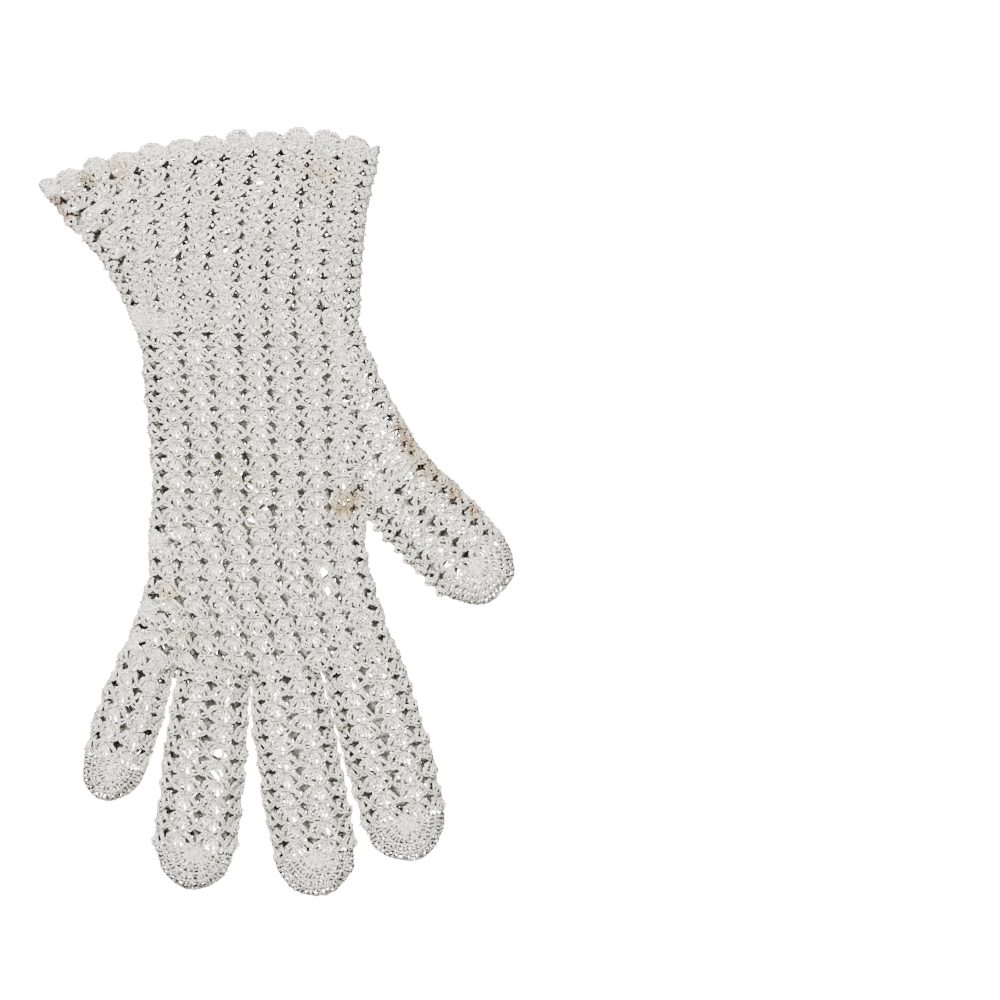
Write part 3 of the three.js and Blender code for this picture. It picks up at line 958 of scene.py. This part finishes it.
def new_material(name, looks):
    """A material of these looks, its shader, and short ways to add a node, a sum and a mixture of colours."""
    material = bpy.data.materials.new(name)
    material.use_nodes = True
    nodes, links = material.node_tree.nodes, material.node_tree.links
    shader = nodes["Principled BSDF"]
    for socket, value in looks.items():
        shader.inputs[socket].default_value = value

    def node(kind, **inputs):
        made = nodes.new(kind)
        for name, value in inputs.items():
            made.inputs[name.replace("_", " ")].default_value = value
        return made

    def maths(operation, *values):
        made = nodes.new("ShaderNodeMath")
        made.operation = operation
        for socket, value in zip(made.inputs, values):
            if isinstance(value, (int, float)):
                socket.default_value = value
            else:
                links.new(value, socket)
        return made.outputs[0]

    def mixed(share, first, second, blend="MIX"):
        made = nodes.new("ShaderNodeMix")
        made.data_type = "RGBA"
        made.blend_type = blend
        for index, value in ((0, share), (6, first), (7, second)):
            if isinstance(value, tuple):
                made.inputs[index].default_value = value
            else:
                links.new(value, made.inputs[index])
        return made.outputs[2]

    return material, shader, nodes, links, node, maths, mixed


def cotton():
    """Soft twisted cotton, its plies from the strand's own coordinates, its painted shade from the strands'
    depth and sides, and its stains and painted fold shade from their places.
    """
    material, shader, nodes, links, node, maths, mixed = new_material("crochet_cotton", COTTON_LOOKS)
    place = nodes.new("ShaderNodeTexCoord").outputs["Object"]

    def noise(scale, detail):
        made = node("ShaderNodeTexNoise", Scale=scale, Detail=detail)
        links.new(place, made.inputs["Vector"])
        return made.outputs[0]

    def attribute(name):
        made = nodes.new("ShaderNodeAttribute")
        made.attribute_name = name
        return made.outputs["Fac"]

    # Plies twisted round the strand, and its fibres
    strand = nodes.new("ShaderNodeUVMap")
    strand.uv_map = "strand"
    parts = nodes.new("ShaderNodeSeparateXYZ")
    links.new(strand.outputs[0], parts.inputs[0])
    lengthways = maths("MULTIPLY", parts.outputs[0], 1 / PLY_PITCH)
    turns = maths("ADD", lengthways, maths("MULTIPLY", parts.outputs[1], PLIES))
    ply = maths("SINE", maths("MULTIPLY", turns, 2 * math.pi))
    fibre = noise(2600.0, 2.0)
    bump = node("ShaderNodeBump", Strength=0.6, Distance=0.00012)
    relief = maths("ADD", maths("MULTIPLY", ply, 0.5), maths("MULTIPLY", fibre, 0.8))
    links.new(relief, bump.inputs["Height"])
    links.new(bump.outputs[0], shader.inputs["Normal"])

    # Cream and white, a little different from strand to strand
    value = nodes.new("ShaderNodeHueSaturation")
    light = maths("MULTIPLY", attribute("shade"), STRAND_LIGHT)
    # Painted highlight and shade: light and dark stripes along the plies' twist
    light = maths("ADD", light, maths("MULTIPLY", ply, PLY_PAINTED_SHADING))
    light = maths("ADD", light, maths("MULTIPLY", fibre, FIBRE_LIGHT))
    links.new(maths("ADD", light, LIGHT), value.inputs["Value"])
    links.new(mixed(noise(45.0, 3.0), CREAM, WHITE), value.inputs["Color"])
    colour = value.outputs[0]

    # Painted shade: greyer deep down between the strands
    deep = nodes.new("ShaderNodeMapRange")
    for name, limit in (("From Min", DEEPEST), ("From Max", UNSHADED_HEIGHT), ("To Min", 1.0), ("To Max", 0.0)):
        deep.inputs[name].default_value = limit
    links.new(attribute("depth"), deep.inputs["Value"])
    colour = mixed(maths("MULTIPLY", deep.outputs[0], DEEP_PAINTED_SHADE), colour, PAINTED_SHADE_GREY)

    # Painted shade along the sides and back of each strand, which turn away from the fabric's face
    facing = maths("SINE", maths("MULTIPLY", parts.outputs[1], 2 * math.pi))
    colour = mixed(maths("MULTIPLY", maths("SUBTRACT", 1.0, facing), SIDE_PAINTED_SHADE), colour, PAINTED_SHADE_GREY)

    # Stains, and painted shade of folds, each round a place of its own with a ragged edge
    ragged = noise(260.0, 2.0)
    for across, down, radius, strength, tint in STAINS_AND_FOLD_SHADE:
        centre = (photo_place(across, down) + PALM_MIDDLE) * MM
        away = nodes.new("ShaderNodeVectorMath")
        away.operation = "DISTANCE"
        away.inputs[1].default_value = (*centre, STAIN_AND_FOLD_SHADE_HEIGHT)
        links.new(place, away.inputs[0])
        near = maths("SUBTRACT", 1.0, maths("DIVIDE", away.outputs["Value"], radius * PIXEL * MM))
        near = maths("MAXIMUM", near, 0.0)
        share = maths("MULTIPLY", maths("MULTIPLY", near, STAIN_AND_FOLD_SHADE_STRENGTH * strength), ragged)
        colour = mixed(share, colour, (*tint, 1), "MULTIPLY")
    links.new(colour, shader.inputs["Base Color"])
    return material


def white_floor():
    """White paper with a faint grain and a glow of its own."""
    material, shader, _, links, node, _, mixed = new_material("white_sweep", FLOOR_LOOKS)
    grain = node("ShaderNodeTexNoise", Scale=3.0)
    paper = mixed(grain.outputs[0], (0.94, 0.94, 0.94, 1), (0.97, 0.97, 0.97, 1))
    links.new(paper, shader.inputs["Base Color"])
    return material


def floor():
    """A white floor that curves up all round, well behind the camera and the lamps."""
    mesh = bpy.data.meshes.new("floor")
    turns = np.arange(SWEEP_SIDES) / SWEEP_SIDES * 2 * math.pi
    corners = [(reach * math.cos(turn), reach * math.sin(turn), rise)
               for reach, rise in SWEEP for turn in turns]
    faces = [tuple(range(SWEEP_SIDES))]
    for first in range(0, len(corners) - SWEEP_SIDES, SWEEP_SIDES):
        for i in range(SWEEP_SIDES):
            after = (i + 1) % SWEEP_SIDES
            faces.append((first + i, first + SWEEP_SIDES + i, first + SWEEP_SIDES + after, first + after))
    mesh.from_pydata(corners, [], faces)
    mesh.materials.append(white_floor())
    made = new_object("floor", mesh)
    made.location.z = -FLOOR_DROP
    made.visible_diffuse = False
    made.visible_glossy = False


def studio():
    """A faint, even sky, and round lamps that point at the middle of the frame."""
    world = bpy.data.worlds.new("studio")
    bpy.context.scene.world = world
    world.use_nodes = True
    background = world.node_tree.nodes["Background"]
    background.inputs["Color"].default_value = (1, 1, 1, 1)
    background.inputs["Strength"].default_value = SKY
    for name, place, size, power in LAMPS:
        data = bpy.data.lights.new(name, "AREA")
        data.shape = "DISK"
        data.size = size
        data.energy = power
        made = new_object(name, data)
        made.location = place
        made.rotation_euler = (-Vector(place)).to_track_quat("-Z", "Y").to_euler()


def camera():
    """Straight over the picture's centre, as the photo was taken."""
    data = bpy.data.cameras.new("camera")
    data.lens = data.sensor_width * CAMERA_HEIGHT / (PHOTO_WIDTH * PIXEL * MM)
    made = new_object("camera", data)
    made.location = (*((photo_place(*PHOTO_CENTRE) + PALM_MIDDLE) * MM), CAMERA_HEIGHT)
    bpy.context.scene.camera = made


def make(name, node, fill):
    """One piece of strands that stands for a solid."""
    thread = Thread()
    fill(thread)
    piece = thread.mesh(name, COTTON)
    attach(piece, "root")
    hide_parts(node)
    print(name, 2 * len(piece.data.polygons), "triangles")


def body_layer(first, last, upper):
    """What works one layer of the hand or the cuff, between two places along the body."""
    turned = last <= to_wrist
    buried = buried_in_hand if turned else None
    radius = THREAD if upper else LOWER_THREAD
    cells = body_cells(first, last, upper, turned)
    return lambda thread: work(thread, body, shell_stitch(), cells, buried, radius=radius)


def gusset_stitches(thread):
    """The gusset's shells, between the thumb's own and the hand."""
    cells = tube_cells(gusset, 0, gusset.length - GUSSET_END, THUMB_SHELL_HEIGHT, *FLARES["gusset"])
    work(thread, gusset, shell_stitch(), cells, buried_in_gusset)


def edging(thread):
    """Two rounds of close stitches and a scallop for each column, lower and closer towards the left."""
    _, count = body_column(body.length, 0)
    around = np.interp(body.length, body.along, body.perimeter)
    small = int(round(around / KNOT[0]))
    wide = CELL[0] / KNOT[0] / small
    cells = [(body.length - back, i / small, i / small, CELL[1] * EDGE_ROUND, wide, 0, 0)
             for back in EDGE_ROUNDS_BACK for i in range(small)]
    work(thread, body, knot_stitch(), cells)
    cells = []
    for layer, columns in ((1, range(count + 1)), (-1, range(1, count))):
        for column in columns:
            before, turn, after = (body_column(body.length, column + step)[0] for step in (-0.5, 0, 0.5))
            turn = 0.5 if column == count else turn
            tall = CELL[1] * (SCALLOP - SCALLOP_LOSS * turn + rng.normal(0, 0.06))
            at = RIGHT_FOLD + layer * turn
            cells.append((body.length - SCALLOP_BACK, at, at, tall, after - before, 0, 0))
    cells += [(body.length - back, LEFT_FOLD + aside, LEFT_FOLD + aside, CORNER_TALL, wide, CORNER_FLARE, 0)
              for back in CORNER_BACK for aside in CORNER_ASIDE]
    work(thread, body, knob_stitch(), cells, loose=0.2)


def digit(name):
    """What works a finger or the thumb: shells, finer on the upper layer, and a closely worked tip."""
    def fill(thread):
        tube = digits[name]
        height = THUMB_SHELL_HEIGHT if name == "thumb" else SHELL_HEIGHT
        start = float(np.interp(TIP_REACH - TIP_LAP, tube.axis, tube.along))
        cells = tube_cells(tube, start, tube.length - ROOT_OVERLAP + ROOT_RUN, height, *FLARES[name])
        for lower, radius in ((False, THREAD), (True, LOWER_THREAD)):
            chosen = [cell for cell in cells if (RIGHT_FOLD < cell[1] < LEFT_FOLD) == lower]
            work(thread, tube, shell_stitch(), chosen, radius=radius)
        work_tip(thread, tube)
    return fill


COTTON = cotton()
body = body_tube()
gusset = gusset_tube()
digits = {name: digit_tube(values) for name, values in DIGITS.items()}
body_cover = Cover(body)
gusset_cover = Cover(gusset)
digit_covers = [Cover(tube, tube.length - ROOT_OVERLAP) for tube in digits.values()]
to_wrist = float(np.interp(WRIST, body.points[:, 0, 1], body.along))

make("hand_back", "hand", body_layer(0, to_wrist, True))
make("hand_palm", "hand", body_layer(0, to_wrist, False))
make("thumb_gusset", "hand", gusset_stitches)
make("cuff_back", "cuff", body_layer(to_wrist, body.length, True))
make("cuff_palm", "cuff", body_layer(to_wrist, body.length, False))
make("scalloped_edging", "cuff_edging", edging)
for name in DIGITS:
    make(name + "_stitches", name, digit(name))

floor()
studio()
camera()
